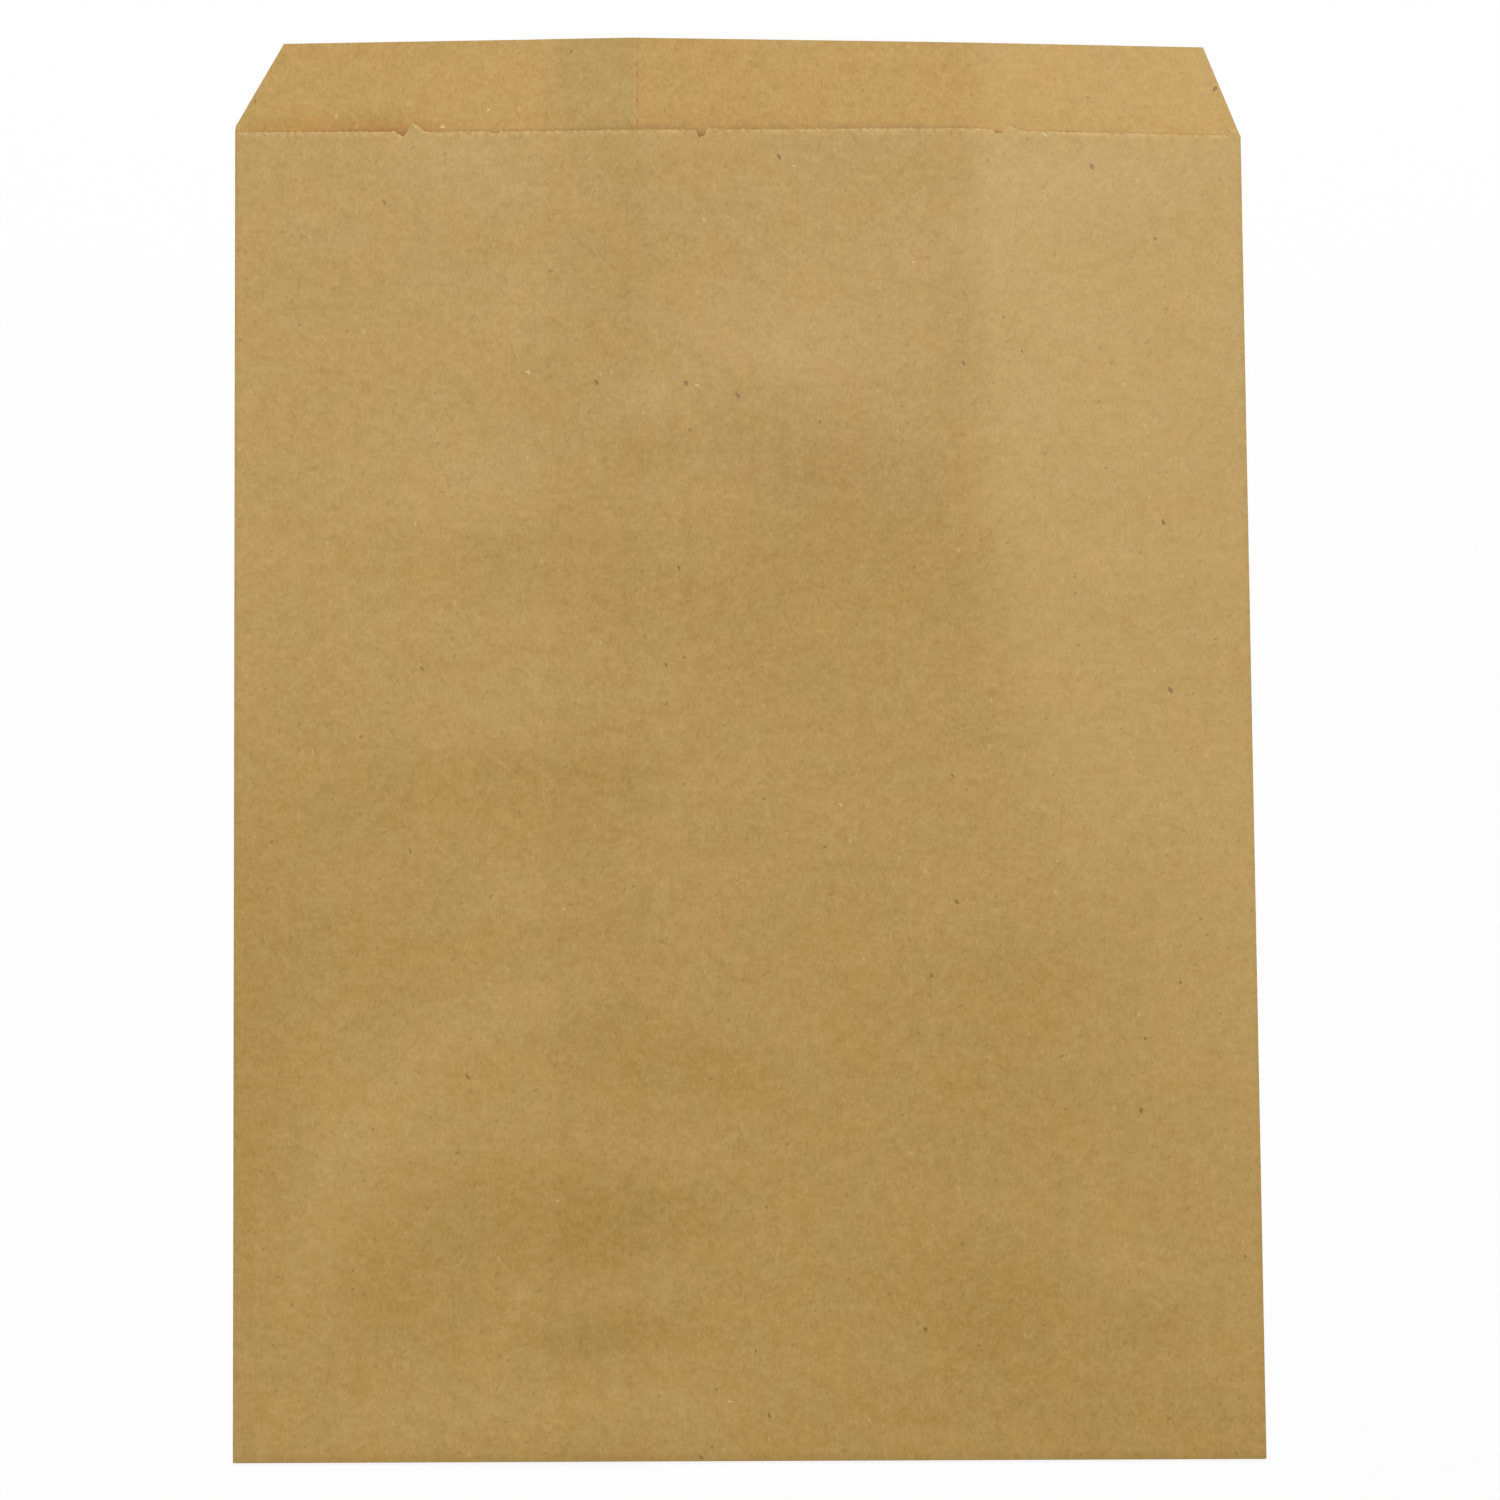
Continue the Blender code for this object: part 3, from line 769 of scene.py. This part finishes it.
class Nodes:
    """Adds nodes to the tree of a material or a world, each joined to what feeds it."""

    def __init__(self, owner):
        owner.use_nodes = True
        self.tree = owner.node_tree

    def add(self, kind, inputs=None, **settings):
        """A node with its settings and inputs. An input is a value or another node's output."""
        node = self.tree.nodes.new(kind)
        for name, value in settings.items():
            setattr(node, name, value)
        for name, value in (inputs or {}).items():
            self.feed(node.inputs[name], value)
        return node

    def feed(self, socket, value):
        """Joins an output to a socket, or sets the socket."""
        if isinstance(value, bpy.types.NodeSocket):
            self.tree.links.new(value, socket)
        else:
            socket.default_value = value

    def math(self, operation, first, second=0.0):
        """The result of a sum on two values."""
        node = self.add("ShaderNodeMath", {0: first, 1: second}, operation=operation)
        return node.outputs[0]

    def ramp(self, value, low, high, least=0.0, most=1.0):
        """A value brought from between low and high to between least and most."""
        inputs = {"Value": value, "From Min": low, "From Max": high, "To Min": least, "To Max": most}
        return self.add("ShaderNodeMapRange", inputs).outputs["Result"]

    def mix(self, share, first, second, blend="MIX"):
        """One colour mixed into another."""
        node = self.add("ShaderNodeMix", data_type="RGBA", blend_type=blend)
        inputs = {socket.identifier: socket for socket in node.inputs}
        for name, value in (("Factor_Float", share), ("A_Color", first), ("B_Color", second)):
            self.feed(inputs[name], value)
        return next(socket for socket in node.outputs if socket.identifier == "Result_Color")

    def shaded(self, colour, level):
        """A colour made lighter or darker. Kraft turns orange as it darkens, so blue changes the most."""
        shares = [self.math("ADD", self.math("MULTIPLY", level, share), 1.0) for share in SHADE_SHARES]
        change = self.add("ShaderNodeCombineColor", dict(enumerate(shares))).outputs[0]
        return self.mix(1.0, (*colour, 1.0), change, "MULTIPLY")

    def tinted(self, colour, tint):
        """A colour multiplied by a tint's three shares."""
        return self.mix(1.0, colour, (*tint, 1.0), "MULTIPLY")

    def mark(self, name):
        """A value that each point of the sheet holds."""
        return self.add("ShaderNodeAttribute", attribute_name=name).outputs["Fac"]

    def grain(self, place, scale, detail, roughness):
        """Cloudy noise of a scale per metre."""
        inputs = {"Vector": place, "Scale": scale, "Detail": detail, "Roughness": roughness}
        return self.add("ShaderNodeTexNoise", inputs).outputs["Fac"]


def kraft(name, colour, settings, shift, sheen, with_painted_shade=False):
    """Unbleached kraft paper: clouded pulp, fine fibres, dark and light flecks, and a soft sheen."""
    material = bpy.data.materials.new(name)
    nodes = Nodes(material)
    layout = nodes.add("ShaderNodeUVMap", uv_map="sheet").outputs["UV"]
    shifted = nodes.add("ShaderNodeMapping", {"Vector": layout, "Location": (shift, shift, 0.0)})
    place = shifted.outputs["Vector"]
    grains, level = pulp_grains(nodes, place)
    base = nodes.shaded(colour, level)
    hue = nodes.ramp(nodes.grain(place, *HUE_GRAIN), *HUE_RANGE)
    base = nodes.mix(1.0, base, nodes.mix(hue, REDDER, GREENER), "MULTIPLY")
    # Painted sheen: right of the soft bend the paper is mixed towards a paler, whiter colour that stands in
    # for the light's sheen.
    base = nodes.mix(nodes.math("MULTIPLY", nodes.mark("pale"), SHEEN_SHARE), base, (*settings.pale, 1.0))
    base = nodes.mix(nodes.mark("glued"), base, nodes.tinted(base, settings.glued))
    # Painted shade: the inner face is darkened above the mouth, and in a broken line along the front's cut
    # edge and beside the seam's edge.
    if with_painted_shade:
        base = painted_shades(nodes, base, grains, settings)
    worn = nodes.math("MULTIPLY", nodes.mark("cut"), nodes.ramp(grains["pulp"], *WORN_RANGE))
    base = nodes.mix(nodes.math("MULTIPLY", worn, WORN_SHARE), base, (*settings.cut, 1.0))
    for rows, fleck in ((DARK_FLECKS, settings.dark_fleck), (LIGHT_FLECKS, settings.light_fleck)):
        for turn, scale, size, rarity, share in rows:
            inside = flecks(nodes, place, turn, scale, size, rarity)
            base = nodes.mix(nodes.math("MULTIPLY", inside, share), base, (*fleck, 1.0))

    shader = nodes.tree.nodes["Principled BSDF"]
    shader.inputs["Specular IOR Level"].default_value = sheen
    nodes.feed(shader.inputs["Base Color"], base)
    nodes.feed(shader.inputs["Roughness"], soft_gloss(nodes, grains["mottle"]))
    nodes.feed(shader.inputs["Normal"], fibre_bumps(nodes, grains))
    return material


def pulp_grains(nodes, place):
    """The noises of the pulp, and how much lighter or darker they and the painted highlights and shade make
    the paper.
    """
    drawn = nodes.add("ShaderNodeMapping", {"Vector": place, "Scale": (1.0, FIBRE_DRAWN, 1.0)})
    grains, level = {}, nodes.mark("tone")
    for name, (scale, detail, roughness, strength) in GRAINS.items():
        at = drawn.outputs["Vector"] if name == "fibre" else place
        grains[name] = nodes.grain(at, scale, detail, roughness)
        change = nodes.math("MULTIPLY", nodes.math("SUBTRACT", grains[name], 0.5), strength)
        level = nodes.math("ADD", level, change)
    return grains, level


def soft_gloss(nodes, mottle):
    """The paper's roughness: a little uneven, and higher at grazing angles, where loose fibres stand up."""
    facing = nodes.add("ShaderNodeLayerWeight").outputs["Facing"]
    dull = nodes.math("MULTIPLY", nodes.ramp(facing, *GRAZING), GRAZING_ROUGHNESS)
    rough = nodes.math("ADD", nodes.math("MULTIPLY", mottle, ROUGH_CHANGE), ROUGHNESS)
    return nodes.math("ADD", rough, dull)


def fibre_bumps(nodes, grains):
    """The small bumps of pulp and fibres."""
    height = nodes.math("MULTIPLY", nodes.math("ADD", grains["pulp"], grains["fibre"]), 0.5)
    inputs = {"Strength": BUMP_STRENGTH, "Distance": BUMP_HEIGHT, "Height": height}
    return nodes.add("ShaderNodeBump", inputs).outputs["Normal"]


def painted_shades(nodes, base, grains, settings):
    """Paints shade on the inner face above the mouth, and adds a broken line of painted shade along its edge
    and the seam.
    """
    uneven = nodes.math("MULTIPLY", nodes.math("SUBTRACT", grains["pulp"], 0.5), SHADE_RAGGED)
    above = nodes.math("ADD", nodes.mark("above"), uneven)
    near = nodes.math("SUBTRACT", 1.0, nodes.ramp(above, MOUTH_SHADE_START, MOUTH_SHADE_START + MOUTH_SHADE_LENGTH))
    brown = nodes.math("MULTIPLY", near, nodes.mark("brown"))
    patchy = nodes.math("MULTIPLY", brown, nodes.ramp(grains["mottle"], *SHADE_PATCH_RANGE))
    base = nodes.mix(patchy, base, nodes.tinted(base, settings.mouth_shade_tint))

    # The broken line of painted shade along the front's cut edge and beside the seam's edge.
    inside = nodes.ramp(above, -EDGE_SHADE_REACH, -EDGE_SHADE_REACH / 2)
    line = nodes.math("SUBTRACT", inside, nodes.ramp(above, EDGE_SHADE_START, EDGE_SHADE_START + EDGE_SHADE_LENGTH))
    spots = nodes.ramp(grains["pulp"], *EDGE_SHADE_RANGE)
    broken = nodes.math("MAXIMUM", spots, nodes.ramp(above, 0.0, -EDGE_SHADE_LENGTH))
    dirt = nodes.math("MULTIPLY", nodes.math("MAXIMUM", line, nodes.mark("dirt")), broken)
    return nodes.mix(dirt, base, nodes.tinted(base, settings.dirt))


def flecks(nodes, place, turn, scale, size, rarity):
    """Scattered short specks: 1 inside a speck and 0 outside, in only the rarest cells of a cell pattern."""
    noise_inputs = {"Vector": place, "Scale": scale * FLECK_BENDS, "Detail": 1.0}
    away = nodes.add("ShaderNodeTexNoise", noise_inputs).outputs["Color"]
    small = nodes.add("ShaderNodeVectorMath", {0: away, "Scale": FLECK_WANDER / scale}, operation="SCALE")
    bent = nodes.add("ShaderNodeVectorMath", {0: place, 1: small.outputs[0]}, operation="ADD").outputs[0]
    drawn = {"Vector": bent, "Rotation": (0.0, 0.0, turn), "Scale": (1.0, FLECK_LENGTH, 1.0)}
    long = nodes.add("ShaderNodeMapping", drawn, vector_type="TEXTURE").outputs["Vector"]
    cells = nodes.add("ShaderNodeTexVoronoi", {"Vector": long, "Scale": scale}, voronoi_dimensions="2D")
    chosen = nodes.add("ShaderNodeSeparateColor", {0: cells.outputs["Color"]}).outputs
    reach = nodes.math("ADD", nodes.math("MULTIPLY", chosen[1], size), size * FLECK_LEAST)
    inside = nodes.ramp(nodes.math("SUBTRACT", reach, cells.outputs["Distance"]), 0.0, size * FLECK_EDGE)
    return nodes.math("MULTIPLY", inside, nodes.math("GREATER_THAN", chosen[0], rarity))


# Settings


class PaperSettings(PropertyGroup):
    """The paper's colours."""

    outside: FloatVectorProperty(
        name="Outside",
        description="Colour of the paper's outer face",
        subtype="COLOR",
        default=(0.415, 0.246, 0.047),
    )
    inside: FloatVectorProperty(
        name="Inside",
        description="Colour of the paper's inner face",
        subtype="COLOR",
        default=(0.443, 0.258, 0.049),
    )
    # Painted sheen: the colour mixed into the paper right of the bend stands in for the light's sheen there.
    pale: FloatVectorProperty(
        name="Painted sheen",
        description="Colour that pales the paper right of the bend",
        subtype="COLOR",
        default=(0.95, 0.74, 0.34),
    )
    cut: FloatVectorProperty(
        name="Cut edge",
        description="Colour of the fibres along a cut",
        subtype="COLOR",
        default=(0.70, 0.47, 0.15),
    )
    glued: FloatVectorProperty(
        name="Glued strip",
        description="How the seam's glue tints the paper",
        subtype="COLOR",
        default=(0.90, 0.945, 1.0),
    )
    # Painted shade: the tint that darkens the inner face above the mouth, where the front's edge shades it.
    mouth_shade_tint: FloatVectorProperty(
        name="Painted shade at mouth",
        description="How the inner face is tinted above the mouth",
        subtype="COLOR",
        default=(0.86, 0.62, 0.06),
    )
    # Painted shade: the tint of the broken line along the front's cut edge and beside the seam's edge.
    dirt: FloatVectorProperty(
        name="Painted edge shade",
        description="How the dirt along the cut edges tints the paper",
        subtype="COLOR",
        default=(0.76, 0.60, 0.08),
    )
    dark_fleck: FloatVectorProperty(
        name="Dark flecks",
        description="Colour of bark specks in the pulp",
        subtype="COLOR",
        default=(0.16, 0.085, 0.001),
    )
    light_fleck: FloatVectorProperty(
        name="Light flecks",
        description="Colour of unstained fibres",
        subtype="COLOR",
        default=(0.78, 0.60, 0.30),
    )


class StageSettings(PropertyGroup):
    """The light and the camera."""

    lens: FloatProperty(
        name="Lens",
        description="Focal length of the camera in millimetres",
        default=192.0,
        min=20.0,
        max=400.0,
    )
    key_power: FloatProperty(
        name="Key light",
        description="Power of the large soft lamp",
        unit="POWER",
        default=40.0,
        min=0.0,
    )
    second_power: FloatProperty(
        name="Second light",
        description="Power of the weaker soft lamp",
        unit="POWER",
        default=9.0,
        min=0.0,
    )
    fill: FloatProperty(
        name="Fill light",
        description="Strength of the even light all round",
        default=0.30,
        min=0.0,
        max=2.0,
    )


# Operators


class OBJECT_OT_fold_paper_bag(Operator):
    """Cuts and folds the sheet into the bag, and finishes its paper"""

    bl_idname = "object.fold_paper_bag"
    bl_label = "Fold the Bag"

    def execute(self, context):
        """Makes the folded sheet in the place of the solid bag."""
        settings = context.scene.bag_paper
        sheet = laid_sheet()
        fold_sheet(sheet)
        outside = kraft("kraft_outside", settings.outside, settings, shift=0.0, sheen=0.9)
        inside = kraft("kraft_inside", settings.inside, settings, shift=3.0, sheen=0.7, with_painted_shade=True)
        rim = kraft("kraft_cut_edge", settings.cut, settings, shift=5.0, sheen=0.5)
        for material in (outside, inside, rim):
            sheet.data.materials.append(material)
        solid_paper(sheet)
        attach(sheet, "root")
        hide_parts("paper_bag")
        return {"FINISHED"}


class OBJECT_OT_set_bag_stage(Operator):
    """Lays the floor and sets the light and the camera"""

    bl_idname = "object.set_bag_stage"
    bl_label = "Set the Stage"

    def execute(self, context):
        """Makes the floor, the lamps, the surrounding light and the camera."""
        settings = context.scene.bag_stage
        lay_floor()
        hang_lamps(settings)
        surround(context.scene, settings)
        place_camera(context.scene, settings)
        context.scene.view_settings.view_transform = "Standard"
        return {"FINISHED"}


# The stage


def place_camera(scene, settings):
    """The camera that looks down on the bag."""
    bpy.ops.object.camera_add()
    camera = bpy.context.object
    camera.name = "camera"
    across, up, high = (value / 1000 for value in CAMERA_PLACE)
    camera.location = (across, BAG_FOOT + up, high)
    camera.rotation_euler = [math.radians(value) for value in CAMERA_TURN]
    camera.data.sensor_width = SENSOR
    camera.data.lens = settings.lens
    camera.data.clip_start = NEAREST
    camera.data.clip_end = FURTHEST
    scene.camera = camera


def lay_floor():
    """A pale floor that keeps the bag's shadow."""
    bpy.ops.mesh.primitive_plane_add(size=FLOOR_SIZE, location=(0.0, 0.0, -FLOOR_DROP))
    floor = bpy.context.object
    floor.name = "floor"
    floor.data.materials.append(pale_floor())


def pale_floor():
    """A matt white that is lit, and lifted to white where the camera sees it, wholly so far from the bag."""
    material = bpy.data.materials.new("pale_floor")
    nodes = Nodes(material)
    nodes.tree.nodes.clear()
    rays = nodes.add("ShaderNodeLightPath").outputs
    seen = nodes.math("MAXIMUM", rays["Is Camera Ray"], rays["Is Glossy Ray"])
    place = nodes.add("ShaderNodeTexCoord").outputs["Object"]
    away = nodes.add("ShaderNodeVectorMath", {0: place}, operation="LENGTH").outputs["Value"]
    share = nodes.math("MULTIPLY", seen, nodes.ramp(away, *LIFT_RANGE, *LIFT))
    lit = nodes.add("ShaderNodeBsdfDiffuse", {"Color": FLOOR_COLOUR}).outputs[0]
    glow = nodes.add("ShaderNodeEmission", {"Color": WHITE}).outputs[0]
    mixed = nodes.add("ShaderNodeMixShader", {0: share, 1: lit, 2: glow}).outputs[0]
    nodes.add("ShaderNodeOutputMaterial", {"Surface": mixed})
    return material


def hang_lamps(settings):
    """One large soft lamp beyond the lip, and a weaker one before the bottom fold."""
    for name, place, size, power in LAMPS:
        bpy.ops.object.light_add(type="AREA", location=place)
        lamp = bpy.context.object
        lamp.name = name
        lamp.data.shape = "SQUARE"
        lamp.data.size = size
        lamp.data.energy = getattr(settings, power)
        lamp.rotation_euler = (-Vector(place)).to_track_quat("-Z", "Y").to_euler()


def surround(scene, settings):
    """Even light from all round, white where the camera sees past the floor."""
    world = bpy.data.worlds.new("surround")
    nodes = Nodes(world)
    seen = nodes.add("ShaderNodeLightPath").outputs["Is Camera Ray"]
    background = nodes.tree.nodes["Background"]
    nodes.feed(background.inputs["Color"], WHITE)
    nodes.feed(background.inputs["Strength"], nodes.ramp(seen, 0.0, 1.0, settings.fill, 1.0))
    scene.world = world


# The panel, and what runs when the script does

COLOUR_NAMES = ("outside", "inside", "pale", "cut", "glued", "mouth_shade_tint", "dirt", "dark_fleck", "light_fleck")
STAGE_NAMES = ("lens", "key_power", "second_power", "fill")


class VIEW3D_PT_paper_bag(Panel):
    """Lists the steps that make the bag and its picture"""

    bl_label = "Paper Bag"
    bl_space_type = "VIEW_3D"
    bl_region_type = "UI"
    bl_category = "Paper Bag"

    def draw(self, context):
        """Shows each setting, with the step that uses it below."""
        layout = self.layout
        paper, stage = context.scene.bag_paper, context.scene.bag_stage
        for name in COLOUR_NAMES:
            layout.prop(paper, name)
        layout.operator(OBJECT_OT_fold_paper_bag.bl_idname)
        for name in STAGE_NAMES:
            layout.prop(stage, name)
        layout.operator(OBJECT_OT_set_bag_stage.bl_idname)


CLASSES = (
    PaperSettings,
    StageSettings,
    OBJECT_OT_fold_paper_bag,
    OBJECT_OT_set_bag_stage,
    VIEW3D_PT_paper_bag,
)


def register():
    """Adds the settings, the operators and the panel."""
    for kind in CLASSES:
        bpy.utils.register_class(kind)
    bpy.types.Scene.bag_paper = PointerProperty(type=PaperSettings)
    bpy.types.Scene.bag_stage = PointerProperty(type=StageSettings)


def unregister():
    """Takes them away again."""
    del bpy.types.Scene.bag_stage
    del bpy.types.Scene.bag_paper
    for kind in reversed(CLASSES):
        bpy.utils.unregister_class(kind)


def main():
    """Makes the bag and its stage."""
    register()
    bpy.ops.object.fold_paper_bag()
    bpy.ops.object.set_bag_stage()


if __name__ == "__main__":
    main()
